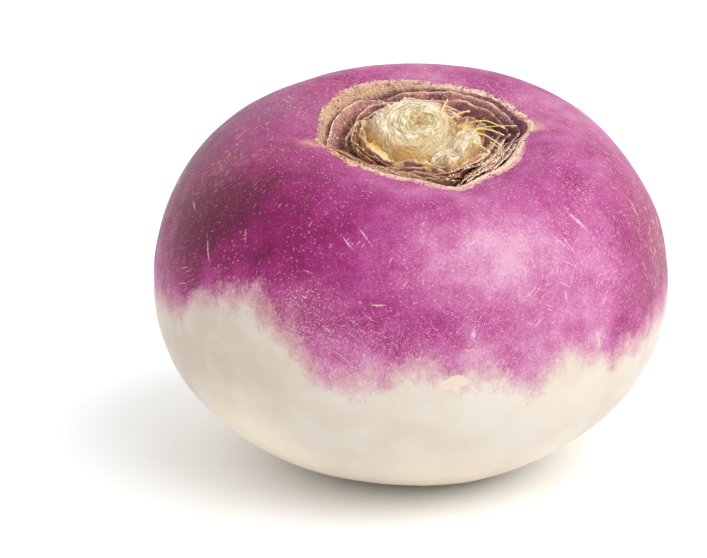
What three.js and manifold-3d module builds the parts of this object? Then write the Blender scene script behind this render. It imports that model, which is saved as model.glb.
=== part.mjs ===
// A purple-top turnip, pulled and trimmed: the swollen root, the cut crown stem in its sunken
// corky collar, the stubs of cut leaf stalks, the dry leaf-base scales round them and the
// loose vein fibres that are left of one leaf.
//
// Millimetres, +Z up, +X to the right, -Y towards the front. The origin is on the trimmed root
// face that the turnip stands on, straight below the middle of its widest ring. The root's own
// axis leans LEAN degrees to the front, because the root end was cut at a slant.

import * as THREE from "three";
import { mergeVertices } from "three/addons/utils/BufferGeometryUtils.js";
import Module from "manifold-3d";

// ---- Driving dimensions -----------------------------------------------------------------

const WIDTH = 90.4; // diameter of the widest ring of the root
const LEAN = 12; // degrees that the crown leans to the front
const STAND = 32.6; // height of the widest ring's middle above the cut root face
const TOP = 33.4; // height of the top above the widest ring, before its dimple
const TOP_POWER = 2.25; // 2 is an ellipse, more is squarer in the shoulders
const BOTTOM = 33.4; // depth of the untrimmed root below the widest ring
const BOTTOM_POWER = 1.96;
const SHOULDER = 20; // radius at which the top turns over into the crown's collar
const DIMPLE = { depth: 6.5, radius: 22 }; // the broad hollow that the crown sits in
const ROOT_HEEL = { depth: 3, radius: 9 }; // the taproot's thickening under the root
const CROWN_ASIDE = 1.9; // how far the crown sits to the right of the root's axis
const GAP = 0.3; // clearance between pieces that grow out of each other

// The sunken crown from its lip inward, as radius and height: lip, bevel, wall foot and floor.
const LIP = { radius: 18.2, height: 27.3 };
const BEVEL = { radius: 17, height: 26.6 };
const WALL_FOOT = { radius: 16.2, height: 24 };
const FLOOR = { radius: 15.6, height: 23.2 };

// The collar isn't round: how much wider or narrower it is near some azimuths, in degrees.
const COLLAR_SHAPE = [
  { azimuth: 13, spread: 11, share: 0.09 },
  { azimuth: 53, spread: 25, share: 0.04 },
  { azimuth: 119, spread: 33, share: 0.165 },
  { azimuth: 188, spread: 8, share: 0.13 },
  { azimuth: 229, spread: 50, share: -0.175 },
  { azimuth: 287, spread: 12, share: 0.13 },
  { azimuth: 349, spread: 27, share: -0.07 },
];

// Broad uneven swellings of the root: where, how far they spread, and how high they are.
const SWELLS = [
  { azimuth: 0, latitude: 0, spread: 20, height: -0.37 },
  { azimuth: 16, latitude: 26, spread: 20, height: -1.43 },
  { azimuth: 43, latitude: 50, spread: 20, height: -0.75 },
  { azimuth: 157, latitude: 34, spread: 20, height: 0.83 },
  { azimuth: 174, latitude: 10, spread: 20, height: -0.35 },
  { azimuth: 193, latitude: -21, spread: 20, height: 0.48 },
  { azimuth: 216, latitude: -45, spread: 20, height: 0.5 },
  { azimuth: 254, latitude: -59, spread: 20, height: -0.6 },
  { azimuth: 298, latitude: -57, spread: 20, height: 0.55 },
  { azimuth: 344, latitude: -26, spread: 20, height: 0.42 },
  { azimuth: 95, latitude: -12, spread: 30, height: 0.7 },
  { azimuth: 78, latitude: 24, spread: 24, height: -0.5 },
  { azimuth: 252, latitude: 24, spread: 24, height: 0.3 },
];

// Finish of each kind of piece.
const FINISH = {
  skin: new THREE.MeshStandardMaterial({ color: 0xa8468f, roughness: 0.42 }),
  stem: new THREE.MeshStandardMaterial({ color: 0xe3d3a2, roughness: 0.7 }),
  scale: new THREE.MeshStandardMaterial({ color: 0x84606a, roughness: 0.75 }),
  leafBase: new THREE.MeshStandardMaterial({ color: 0xc9a45c, roughness: 0.6 }),
  fibre: new THREE.MeshStandardMaterial({ color: 0xe6cf80, roughness: 0.55 }),
};

const wasm = await Module();
wasm.setup();

// ---- Small helpers ----------------------------------------------------------------------

const radians = THREE.MathUtils.degToRad;

function bell(distance, width) {
  return Math.exp(-((distance / width) ** 2));
}

// Signed angle from b to a, in degrees, from -180 to 180.
function turnBetween(a, b) {
  return THREE.MathUtils.euclideanModulo(a - b + 180, 360) - 180;
}

function polar(radius, azimuth, height) {
  const a = radians(azimuth);
  return new THREE.Vector3(radius * Math.cos(a), radius * Math.sin(a), height);
}

// Moves every vertex of a geometry to where place(x, y, z) says.
function reshape(geometry, place) {
  const position = geometry.getAttribute("position");
  const at = new THREE.Vector3();
  for (let i = 0; i < position.count; i++) {
    at.copy(place(position.getX(i), position.getY(i), position.getZ(i)));
    position.setXYZ(i, at.x, at.y, at.z);
  }
  geometry.computeVertexNormals();
  return geometry;
}

function solidOf(geometry) {
  const bare = geometry.clone();
  bare.deleteAttribute("normal");
  bare.deleteAttribute("uv");
  const merged = mergeVertices(bare, 1e-3);
  return new wasm.Manifold(
    new wasm.Mesh({
      numProp: 3,
      vertProperties: merged.getAttribute("position").array,
      triVerts: new Uint32Array(merged.index.array),
    }),
  );
}

function geometryOf(solid) {
  const mesh = solid.getMesh();
  const geometry = new THREE.BufferGeometry();
  geometry.setAttribute(
    "position",
    new THREE.BufferAttribute(mesh.vertProperties, 3),
  );
  geometry.setIndex(new THREE.BufferAttribute(mesh.triVerts, 1));
  geometry.computeVertexNormals();
  return geometry;
}

function piece(name, geometry, material) {
  const mesh = new THREE.Mesh(geometry, material);
  mesh.name = name;
  return mesh;
}

// ---- The root ---------------------------------------------------------------------------

// How much wider or narrower than round the collar is at an azimuth.
function collarShare(azimuth) {
  return COLLAR_SHAPE.reduce(
    (sum, c) => sum + c.share * bell(turnBetween(azimuth, c.azimuth), c.spread),
    1,
  );
}

// Height of the top at a radius, before the crown is sunk into it.
function topHeight(radius) {
  const share = Math.min(1, (2 * radius) / WIDTH);
  const dome = TOP * (1 - share ** TOP_POWER) ** (1 / TOP_POWER);
  return dome - DIMPLE.depth * Math.exp(-((radius / DIMPLE.radius) ** 4));
}

function bottomHeight(radius) {
  const share = Math.min(1, (2 * radius) / WIDTH);
  const bowl = BOTTOM * (1 - share ** BOTTOM_POWER) ** (1 / BOTTOM_POWER);
  return -bowl - ROOT_HEEL.depth * bell(radius, ROOT_HEEL.radius);
}

// Half outline of the root, from the root end's axis round to the middle of the crown's floor.
function rootOutline() {
  const bottomSteps = 18;
  const topSteps = 16;
  const widest = Math.PI / 2;
  const points = [new THREE.Vector2(0, bottomHeight(0))];
  for (let i = 1; i <= bottomSteps; i++) {
    const radius = (WIDTH / 2) * Math.sin((i / bottomSteps) * widest);
    points.push(new THREE.Vector2(radius, bottomHeight(radius)));
  }
  const shoulder = Math.asin((2 * SHOULDER) / WIDTH);
  for (let i = 1; i <= topSteps; i++) {
    const angle = THREE.MathUtils.lerp(widest, shoulder, i / topSteps);
    const radius = (WIDTH / 2) * Math.sin(angle);
    points.push(new THREE.Vector2(radius, topHeight(radius)));
  }
  for (const at of [LIP, BEVEL, WALL_FOOT, FLOOR]) {
    points.push(new THREE.Vector2(at.radius, at.height));
  }
  points.push(new THREE.Vector2(FLOOR.radius / 2, FLOOR.height));
  points.push(new THREE.Vector2(0, FLOOR.height));
  return points;
}

// Gives a point of the round root its collar shape, its swellings and its sidelong crown.
function unevenRoot(radius, azimuth, height) {
  const away = THREE.MathUtils.smoothstep(radius, LIP.radius, 1.6 * LIP.radius);
  const nearCrown = height > 0 ? 1 - away : 0;
  const wide = 1 + (collarShare(azimuth) - 1) * nearCrown;
  const at = polar(radius * wide, azimuth, height);
  const outward = at.clone().normalize();
  for (const s of SWELLS) {
    const centre = polar(Math.cos(radians(s.latitude)), s.azimuth, Math.sin(radians(s.latitude)));
    const apart = THREE.MathUtils.radToDeg(outward.angleTo(centre));
    at.addScaledVector(outward, (1 - nearCrown) * s.height * bell(apart, s.spread));
  }
  const aside = Math.max(nearCrown, (Math.max(0, height) / LIP.height) ** 2);
  at.x += CROWN_ASIDE * aside;
  return at;
}

// What the knife took off the root end, as a block in the root's own leaning frame.
function cuttingBlock() {
  const block = new THREE.BoxGeometry(2 * WIDTH, 2 * WIDTH, WIDTH);
  block.translate(0, 0, -STAND - WIDTH / 2);
  block.rotateX(-radians(LEAN));
  return solidOf(block);
}

function rootGeometry() {
  const around = 64;
  const lathe = new THREE.LatheGeometry(rootOutline(), around);
  const round = reshape(lathe, (x, y, z) => {
    const azimuth = THREE.MathUtils.radToDeg(Math.atan2(x, z));
    return unevenRoot(Math.hypot(x, z), azimuth, y);
  });
  return geometryOf(solidOf(round).subtract(cuttingBlock()));
}

// ---- The crown's stem and the stubs of cut leaf stalks -----------------------------------

const STEM = {
  baseRadius: 8.9,
  waistRadius: 8.2,
  topRadius: 7.7,
  topHeight: 29.9,
  middleHeight: 30.2,
  slant: 0.03, // the cut top rises to the back by this share
};

// How far the stem's outline is from round at an azimuth: fuller at the back left, slimmer
// at the right where the leaf was torn off, and a little wavy.
function stemShare(azimuth) {
  const full = 0.1 * bell(turnBetween(azimuth, 115), 40);
  const slim = -0.09 * bell(turnBetween(azimuth, 0), 35);
  return 1 + full + slim + 0.015 * Math.sin(radians(5 * azimuth));
}

function stemGeometry() {
  const base = FLOOR.height + GAP;
  const waist = (base + STEM.topHeight) / 2;
  const edge = 0.3; // size of the worn edge round the cut top
  const outline = [
    new THREE.Vector2(0, base),
    new THREE.Vector2(STEM.baseRadius, base),
    new THREE.Vector2(STEM.waistRadius, waist),
    new THREE.Vector2(STEM.topRadius + edge, STEM.topHeight - 2 * edge),
    new THREE.Vector2(STEM.topRadius - edge, STEM.topHeight),
    new THREE.Vector2(STEM.topRadius / 2, STEM.middleHeight),
    new THREE.Vector2(0, STEM.middleHeight),
  ];
  return reshape(new THREE.LatheGeometry(outline, 32), (x, y, z) => {
    const azimuth = THREE.MathUtils.radToDeg(Math.atan2(x, z));
    const upper = THREE.MathUtils.smoothstep(y, base, waist);
    const share = 1 + (stemShare(azimuth) - 1) * upper;
    const at = polar(Math.hypot(x, z) * share, azimuth, y);
    at.z += STEM.slant * at.y * upper;
    return at;
  });
}

// Where each stub stands, its size across and along the radius, and its height.
const STALK_STUBS = [
  { azimuth: -27, radius: 10.65, across: 5.4, deep: 2.5, top: 28.3 },
  { azimuth: -62, radius: 10.5, across: 4.6, deep: 2.2, top: 27.6 },
];

// A short flattened stub with a domed top, standing on the crown's floor.
function stubGeometry(stub) {
  const base = FLOOR.height + GAP;
  const tall = stub.top - base;
  const outline = [
    new THREE.Vector2(0, 0),
    new THREE.Vector2(1, 0),
    new THREE.Vector2(1, 0.6),
    new THREE.Vector2(0.82, 0.88),
    new THREE.Vector2(0.45, 0.98),
    new THREE.Vector2(0, 1),
  ];
  return reshape(new THREE.LatheGeometry(outline, 16), (x, y, z) => {
    const local = new THREE.Vector3(
      stub.radius + (z * stub.deep) / 2,
      (x * stub.across) / 2,
      base + y * tall,
    );
    return local.applyAxisAngle(new THREE.Vector3(0, 0, 1), radians(stub.azimuth));
  });
}

// ---- The dry leaf-base scales ------------------------------------------------------------

// Each ring of scales: radius, thickness at the foot, lip height, how far the lip leans outward
// and how closely the ring follows the collar's shape.
const RINGS = {
  outer: { radius: 14.7, thick: 0.8, top: 27.1, lean: 0.7, follow: 1 },
  middle: { radius: 13, thick: 0.8, top: 27.3, lean: 0.3, follow: 0.88 },
  inner: { radius: 11.4, thick: 0.8, top: 26.7, lean: 0.2, follow: 0.78 },
};

// Where each scale starts and ends, in degrees of azimuth.
const SCALES = [
  { name: "outer_scale_1", ring: "outer", from: 18, to: 108 },
  { name: "outer_scale_2", ring: "outer", from: 116, to: 206 },
  { name: "outer_scale_3", ring: "outer", from: 212, to: 290 },
  { name: "outer_scale_4", ring: "outer", from: 296, to: 372 },
  { name: "middle_scale_1", ring: "middle", from: 170, to: 254 },
  { name: "middle_scale_2", ring: "middle", from: 259, to: 322 },
  { name: "middle_scale_3", ring: "middle", from: 328, to: 412 },
  { name: "middle_scale_4", ring: "middle", from: 70, to: 162 },
  { name: "leaf_base_1", ring: "inner", from: 138, to: 230 },
  { name: "leaf_base_2", ring: "inner", from: 236, to: 280 },
  { name: "leaf_base_3", ring: "inner", from: 354, to: 408 },
  { name: "leaf_base_4", ring: "inner", from: 58, to: 130 },
];

const SCALE_END = 0.45; // height at a scale's two ends, as a share of its middle
const SCALE_THINNING = 0.35; // share of its thickness that a scale loses up to its lip
const SCALE_STEP = 6; // degrees of azimuth from one facet of a scale to the next

// A curved strip standing on the crown's floor, highest in the middle and low at both ends.
function scaleGeometry(scale) {
  const ring = RINGS[scale.ring];
  const base = FLOOR.height + GAP;
  const steps = Math.round((scale.to - scale.from) / SCALE_STEP);
  const strip = new THREE.BoxGeometry(1, 1, 1, steps, 1, 2);
  return reshape(strip, (x, y, z) => {
    const along = x + 0.5;
    const up = z + 0.5;
    const azimuth = scale.from + along * (scale.to - scale.from);
    const bulge = THREE.MathUtils.lerp(SCALE_END, 1, Math.sin(Math.PI * along) ** 0.6);
    const thick = ring.thick * (1 - SCALE_THINNING * up);
    const follow = 1 + (collarShare(azimuth) - 1) * ring.follow;
    const radius = ring.radius * follow + ring.lean * up - y * thick;
    return polar(radius, azimuth, base + up * bulge * (ring.top - base));
  });
}

// ---- The loose vein fibres ---------------------------------------------------------------

const FIBRE_RADIUS = 0.28;

// Points each fibre passes through: radius, azimuth in degrees and height.
const FIBRES = [
  { name: "fibre_1", path: [[5.2, 47, 30.7], [6, 49, 31.2], [6.9, 51, 31.5]] },
  { name: "fibre_2", path: [[5.9, 14, 30.6], [7.1, 15, 30.9], [8.4, 15, 31]] },
  { name: "fibre_3", path: [[8.3, 14, 28.8], [10.7, 10, 29.3], [12.4, 7, 28.9], [14.2, 4.5, 28.2]] },
  { name: "fibre_4", path: [[8.2, 7, 28], [11, 7.5, 28.3], [13.7, 7.5, 28.3], [16.4, 8, 28.1]] },
  { name: "fibre_5", path: [[8.2, 1, 28.4], [10.5, 0.5, 28.6], [12.3, -1.5, 28.4], [14, -3.5, 27.9]] },
  { name: "fibre_6", path: [[8.3, -8, 28.5], [10.6, -11.5, 28.7], [12.6, -16.5, 28.4], [14.2, -19, 27.9]] },
  { name: "fibre_7", path: [[12.8, -20.2, 28.1], [13.8, -22.2, 28], [14.6, -23.6, 27.8]] },
  { name: "fibre_8", path: [[9.1, -32, 28.9], [11, -33.5, 29], [12.4, -32.5, 28.5], [13.5, -31.6, 27.9]] },
];

function fibreGeometry(fibre) {
  const curve = new THREE.CatmullRomCurve3(
    fibre.path.map(([radius, azimuth, height]) => polar(radius, azimuth, height)),
  );
  const section = new THREE.Shape();
  section.absarc(0, 0, FIBRE_RADIUS, 0, 2 * Math.PI);
  return new THREE.ExtrudeGeometry(section, {
    steps: 7,
    curveSegments: 4,
    bevelEnabled: false,
    extrudePath: curve,
  });
}

// ---- The whole turnip --------------------------------------------------------------------

const turnip = new THREE.Group();
const grown = new THREE.Group(); // everything along the root's own leaning axis
grown.position.z = STAND;
grown.rotation.x = radians(LEAN);
turnip.add(grown);

const crown = new THREE.Group(); // everything in the sunken crown
crown.position.x = CROWN_ASIDE;
grown.add(crown);

grown.add(piece("root", rootGeometry(), FINISH.skin));
crown.add(piece("crown_stem", stemGeometry(), FINISH.stem));
STALK_STUBS.forEach((stub, i) => {
  crown.add(piece(`leaf_stalk_stub_${i + 1}`, stubGeometry(stub), FINISH.stem));
});
for (const scale of SCALES) {
  const material = scale.ring === "inner" ? FINISH.leafBase : FINISH.scale;
  crown.add(piece(scale.name, scaleGeometry(scale), material));
}
for (const fibre of FIBRES) {
  crown.add(piece(fibre.name, fibreGeometry(fibre), FINISH.fibre));
}

export default turnip;
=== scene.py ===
"""The looks of a trimmed purple-top turnip: skin, corky collar, cut stem, dry scales and fibres.

Sizes are in millimetres in the root's own frame: its axis is Z, azimuth 0 is to the right, 90 to
the back, and the origin is the middle of the widest ring. to_row() leans that frame to the front
and stands it on the trimmed root face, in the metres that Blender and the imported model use.
"""

import math

import bmesh
import bpy
import numpy as np
from mathutils import Matrix, Vector, noise


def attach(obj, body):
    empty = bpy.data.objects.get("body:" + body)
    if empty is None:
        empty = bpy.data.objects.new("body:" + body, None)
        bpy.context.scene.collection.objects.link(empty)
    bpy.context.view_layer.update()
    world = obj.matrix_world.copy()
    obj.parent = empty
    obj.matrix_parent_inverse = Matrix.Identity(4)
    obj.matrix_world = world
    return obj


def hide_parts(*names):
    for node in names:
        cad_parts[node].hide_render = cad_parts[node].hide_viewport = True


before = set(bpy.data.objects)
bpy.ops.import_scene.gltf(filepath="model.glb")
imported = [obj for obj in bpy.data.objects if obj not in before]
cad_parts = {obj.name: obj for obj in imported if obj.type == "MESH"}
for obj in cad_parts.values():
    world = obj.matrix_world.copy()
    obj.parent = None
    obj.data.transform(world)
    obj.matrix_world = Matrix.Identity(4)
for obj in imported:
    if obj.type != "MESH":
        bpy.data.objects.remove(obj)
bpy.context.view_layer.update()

MM = 0.001

# ---- Driving dimensions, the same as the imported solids' ----

WIDTH = 90.4  # diameter of the widest ring
LEAN = math.radians(12)  # the crown leans to the front
STAND = 32.6  # the widest ring's middle above the trimmed root face
MIDDLE = Vector((0, 0, STAND * MM))
TOP, TOP_POWER = 33.4, 2.25
BOTTOM, BOTTOM_POWER = 33.4, 1.96
SHOULDER = 20  # radius where the round top ends and the collar starts
DIMPLE_DEPTH, DIMPLE_RADIUS = 6.5, 22
HEEL_DEPTH, HEEL_RADIUS = 3, 9
CROWN_ASIDE = 1.9
LIP = (18.2, 27.3)  # radius and height of the collar's lip
FOOT = 23.5  # height from which the crown's pieces grow

# Azimuth, spread and share: how much wider or narrower than round the collar is.
COLLAR_SHAPE = [
    (13, 11, 0.09), (53, 25, 0.04), (119, 33, 0.165), (188, 8, 0.06), (229, 50, -0.175), (268, 45, -0.048),
    (287, 12, 0.13), (349, 27, -0.07),
]

# Azimuth, latitude, spread and height of the root's broad swellings.
SWELLS = [
    (0, 0, 20, -0.37), (16, 26, 20, -1.43), (43, 50, 20, -0.75), (157, 34, 20, 0.83), (174, 10, 20, -0.35),
    (193, -21, 20, 0.48), (216, -45, 20, 0.5), (254, -59, 20, -0.6), (298, -57, 20, 0.55),
    (344, -26, 20, 0.42), (95, -12, 30, 0.7), (78, 24, 24, -0.5), (252, 24, 24, 0.3),
]

# ---- Small maths ----


def bell(distance, width):
    return np.exp(-((distance / width) ** 2))


def near(azimuth, middle, width):
    """1 at one azimuth, falling away over about width degrees on either side."""
    return bell((azimuth - middle + 180) % 360 - 180, width)


def ease(value, low, high):
    t = np.clip((value - low) / (high - low), 0, 1)
    return t * t * (3 - 2 * t)


def polar(radius, azimuth, height):
    radius, a, height = np.broadcast_arrays(radius, np.radians(azimuth), height)
    return np.stack([radius * np.cos(a), radius * np.sin(a), height], -1).astype(float)


def direction(azimuth, latitude):
    up = math.radians(latitude)
    return polar(math.cos(up), azimuth, math.sin(up))


def unit(points):
    return points / np.maximum(1e-6, np.linalg.norm(points, axis=-1, keepdims=True))


def turn_steps(count):
    return np.arange(count) / count * 360


def to_row(points):
    """Points of the leaning frame, in millimetres, as row-frame points in metres."""
    x, y, z = np.moveaxis(np.asarray(points, float), -1, 0)
    c, s = math.cos(LEAN), math.sin(LEAN)
    return np.stack([x, y * c - z * s, y * s + z * c + STAND], -1) * MM


def crown_to_row(points):
    """The same for points about the crown's own middle."""
    return to_row(np.asarray(points, float) + (CROWN_ASIDE, 0, 0))


def rough(points, size, seed, octaves=3):
    """Noise from about -1 to 1 at points in millimetres, with lumps of about that size."""
    shift = Vector((seed * 17.3, seed * 5.1, seed * 9.7))
    flat = np.asarray(points, float).reshape(-1, 3) / size
    values = [noise.fractal(Vector(p) + shift, 1, 2, octaves) for p in flat]
    return np.array(values).reshape(np.asarray(points).shape[:-1])


def ripple(azimuth, waves, seed):
    """An uneven wave round a ring, from about -1 to 1, with about that many swings."""
    random = np.random.default_rng(seed)
    total = 0
    for step in range(4):
        count = max(1, round(waves * (0.6 + 0.4 * step)))
        total = total + np.sin(np.radians(azimuth) * count + random.uniform(0, math.tau)) / 2
    return total / 1.4


def smooth_line(corners, steps):
    """Points along a Catmull-Rom curve through corners, steps of them to each stretch."""
    corners = np.array([corners[0], *corners, corners[-1]], float)
    line = []
    for a, b, c, d in zip(corners, corners[1:], corners[2:], corners[3:]):
        square, cube = 2 * a - 5 * b + 4 * c - d, 3 * b - a - 3 * c + d
        line += [0.5 * (2 * b + (c - a) * t + square * t**2 + cube * t**3) for t in np.arange(steps) / steps]
    return np.array(line + [corners[-1]])


# ---- Meshes ----


def add_object(name, data):
    added = bpy.data.objects.new(name, data)
    bpy.context.scene.collection.objects.link(added)
    return added


def build_mesh(name, points, faces, marks=None, edges=(), closed=True):
    """A smooth mesh object from row-frame points, with a float attribute for each mark."""
    mesh = bpy.data.meshes.new(name)
    mesh.from_pydata([tuple(p) for p in points], edges, faces)
    for mark, values in (marks or {}).items():
        layer = mesh.attributes.new(mark, "FLOAT", "POINT")
        layer.data.foreach_set("value", np.asarray(values, np.float32).ravel())
    mesh.shade_smooth()
    if closed:
        shell = bmesh.new()
        shell.from_mesh(mesh)
        bmesh.ops.recalc_face_normals(shell, faces=shell.faces)
        shell.to_mesh(mesh)
        shell.free()
    mesh.update()
    return add_object(name, mesh)


def ring_faces(rings, count, first):
    """Faces between rings of count points each, numbered on from first."""
    at = lambda ring, i: first + ring * count + i % count
    corners = lambda r, i: (at(r, i), at(r, i + 1), at(r + 1, i + 1), at(r + 1, i))
    return [corners(r, i) for r in range(rings - 1) for i in range(count)]


def turned_mesh(name, grid, marks):
    """A closed turned body: grid[row, column], each end row a single pole, and its marks."""
    rows, columns = grid.shape[:2]
    end = 1 + (rows - 2) * columns
    start = end - columns
    faces = [(0, 1 + (c + 1) % columns, 1 + c) for c in range(columns)]
    faces += ring_faces(rows - 2, columns, 1)
    faces += [(start + c, start + (c + 1) % columns, end) for c in range(columns)]
    each = lambda v: np.concatenate([v[0, :1], v[1:-1].reshape(-1, *v.shape[2:]), v[-1, :1]])
    marks = {mark: each(np.broadcast_to(values, (rows, columns))) for mark, values in marks.items()}
    return build_mesh(name, each(grid), faces, marks)


def strip_faces(stations, loop, first):
    """Faces of a closed strip: its sections one after another, each a loop of points."""
    last = first + (stations - 1) * loop
    ends = [tuple(range(first, first + loop)), tuple(range(last + loop - 1, last - 1, -1))]
    return ring_faces(stations, loop, first) + ends


def finish_piece(piece, material, node):
    if not piece.data.materials:
        piece.data.materials.append(material)
    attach(piece, "root")
    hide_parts(node)


# ---- Shape of the root ----

BOTTOM_ROWS, TOP_ROWS, ROOT_COLUMNS = 58, 66, 360
FAR = 99  # the distance from the lip, in millimetres, of all that isn't near it
REST_EDGE = 0.25  # how softly the root is rounded where it is cut to stand, in millimetres


def collar_share(azimuth):
    return 1 + sum(share * near(azimuth, middle, spread) for middle, spread, share in COLLAR_SHAPE)


def bulge(radius, height, power):
    share = np.minimum(1, 2 * radius / WIDTH)
    return height * (1 - share**power) ** (1 / power)


def top_height(radius):
    return bulge(radius, TOP, TOP_POWER) - DIMPLE_DEPTH * np.exp(-((radius / DIMPLE_RADIUS) ** 4))


def bottom_height(radius):
    return -bulge(radius, BOTTOM, BOTTOM_POWER) - HEEL_DEPTH * bell(radius, HEEL_RADIUS)


def root_outline():
    """Radius and height from the root end's axis, round the belly, to the crown floor's axis."""
    half = WIDTH / 2
    radius = half * np.sin(np.arange(BOTTOM_ROWS) / BOTTOM_ROWS * math.pi / 2)
    bottom = np.stack([radius, bottom_height(radius)], -1)
    radius = half * np.sin(np.linspace(math.pi / 2, math.asin(SHOULDER / half), TOP_ROWS))
    top = np.stack([radius, top_height(radius)], -1)
    outside = [(SHOULDER, top_height(SHOULDER)), (19, top_height(19)), LIP]
    wall = [(17.6, 27.05), (17, 26.6), (16.5, 25.6), (16.2, 25.2), (15.4, 24.7), (13, 24.6)]
    collar = smooth_line(outside + wall, 8)
    return np.concatenate([bottom, top, collar[1:], [(9, 25), (4, 25), (0, 25)]])


def clouds(outward, places):
    """The sum of soft round clouds, for unit vectors from the root's middle."""
    total = np.zeros(outward.shape[:-1])
    for azimuth, latitude, spread, strength in places:
        apart = np.degrees(np.arccos(np.clip(outward @ direction(azimuth, latitude), -1, 1)))
        total += strength * bell(apart, spread)
    return total


def uneven_root(radius, azimuth, height):
    """The round root with the collar's shape, the swellings and the sidelong crown."""
    away = ease(radius, LIP[0], 1.6 * LIP[0])
    near_crown = np.where(height > 0, 1 - away, 0)
    points = polar(radius * (1 + (collar_share(azimuth) - 1) * near_crown), azimuth, height)
    outward = unit(points)
    points += outward * ((1 - near_crown) * clouds(outward, SWELLS))[..., None]
    points[..., 0] += CROWN_ASIDE * np.maximum(near_crown, (np.maximum(0, height) / LIP[1]) ** 2)
    return points


# Azimuth and height of the line where the magenta top meets the cream bottom.
COLOUR_LINE = [
    (0, -1.2), (22, 1.5), (45, -0.8), (66, 2.4), (86, 4.2), (104, 1), (122, 3.4), (144, -0.4), (166, 2.2),
    (182, 0.6), (195, 1.5), (204, 4.2), (210, 5), (214, 9.8), (220, 12.2), (226, 12.6), (230, 14.4),
    (234, 13), (238, 11.6), (243, 9.4), (248, 6), (253, 3.6), (257, 4.6), (264, 4.6), (269, 7.2),
    (275, 7.2), (278, 5.6), (283, 5.8), (287, 5.4), (291, 3.8), (295, 1.6), (299, 2.6), (302, 4.4),
    (307, 5.6), (311, 3.4), (314, 3.9), (318, -0.4), (321, 1.2), (327, 0.2), (333, 1.1), (340, 0.7),
    (350, -1),
]

# Where the magenta is thick; where it is thin and pale, with a painted highlight at the front right; where
# it is browned; where a painted grey sheen lies on its left rim; where the cream is duller, with painted
# shade on its left side; and where fine short strokes scuff the skin: azimuth, latitude, spread and
# strength.
CLOUDS = {
    "plum": [
        (216, 36, 16, 0.3), (202, 24, 14, 0.46), (203, 32, 9, 0.1), (229, 25, 8, 0.14), (249, 32, 10, 0.12),
        (230, 44, 14, 0.08), (247, 34, 15, 0.12), (354, 12, 9, 0.14), (250, 18, 9, 0.05),
        (303, 18, 7, 0.12), (332, 34, 9, 0.12), (334, 26, 7, 0.1), (168, 28, 22, 0.22), (120, 22, 20, 0.15),
        (55, 22, 18, 0.12), (342, 10, 8, 0.08),
    ],
    # Thin pale magenta in places, and a painted highlight at the front right where the key lamp shines.
    "pale": [
        (312, 25, 18, 0.22), (300, 34, 13, 0.14), (292, 33, 10, 0.12), (296, 9, 11, 0.06),
        (257, 12, 6, 0.2), (21, 44, 18, 0.3), (88, 52, 16, 0.2), (280, 20, 12, 0.08), (201, 9, 8, 0.06),
        (281, 31, 9, 0.13), (284, 13, 7, 0.14), (240, 19, 5, 0.18), (248, 19, 6, 0.12), (266, 35, 9, 0.12),
        (95, 5, 20, 0.1), (148, 4, 14, 0.1),
    ],
    "browned": [
        (189, 36, 7, 0.4), (246, 19, 7, 0.35), (174, 66, 10, 0.7), (192, 44, 10, 0.4), (201, 8, 9, 0.6),
        (186, 22, 12, 0.25), (343, 13, 12, 0.9), (134, 53, 14, 0.4), (356, 12, 10, 0.7), (352, 30, 10, 0.5),
        (86, 52, 16, 0.35), (21, 44, 14, 0.35), (110, 30, 16, 0.3), (238, 15, 7, 0.5),
    ],
    # A painted grey sheen along the left rim.
    "greyed": [
        (166, 20, 18, 0.7), (156, 46, 12, 0.4),
    ],
    "scuffed": [
        (256, 12, 8, 1), (246, 19, 8, 0.8), (268, 14, 10, 0.7), (290, 13, 12, 0.6), (318, 26, 12, 0.7),
        (298, 34, 12, 0.5), (334, 34, 10, 0.5), (320, 12, 10, 0.5), (193, 44, 10, 0.6), (228, 18, 8, 0.5),
        (204, 12, 8, 0.4), (60, 18, 14, 0.6), (105, 26, 14, 0.5), (150, 14, 14, 0.6), (20, 24, 12, 0.5),
    ],
    # Duller cream, which on its left side is painted shade.
    "dull": [
        (226, 5, 20, 0.9), (206, 4, 14, 0.7), (220, -16, 18, 0.6), (255, -8, 18, 0.3), (330, -10, 16, 0.4),
        (100, -15, 25, 0.5),
    ],
}

# Single scuffs of the skin: from azimuth and latitude, to azimuth and latitude, width.
PALE_SCUFFS = [
    (206.1, 26.8, 214.7, 21.4, 0.5), (218.1, 33.4, 222.2, 29.5, 0.45), (190, 27.8, 196.5, 27.4, 0.4),
    (249.7, 38.9, 254.6, 35.8, 0.4), (253.3, 42.1, 261.1, 36.3, 0.35), (298.1, 15.9, 301.9, 17.8, 0.35),
    (312.1, 34.2, 315.4, 27.2, 0.35), (314.5, 33.9, 316.1, 26.2, 0.3), (321.4, 36.3, 323.2, 29.7, 1.1),
    (308.9, 22.6, 308.4, 19, 0.5), (285.5, 19.3, 284, 16, 1.2), (315.1, 10.6, 315.7, 5.6, 0.6),
    (292.5, 9.5, 290.8, 7.1, 0.4), (326.9, 4.2, 323.7, 2.3, 0.4), (241.5, 29.4, 245.7, 29.1, 0.35),
    (265.9, 12.8, 267.6, 10.7, 0.35), (271.8, 12.5, 273.6, 13.9, 0.35), (40, 30, 46, 24, 0.5),
    (120, 34, 128, 30, 0.5), (80, 18, 83, 10, 0.5),
]
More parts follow.
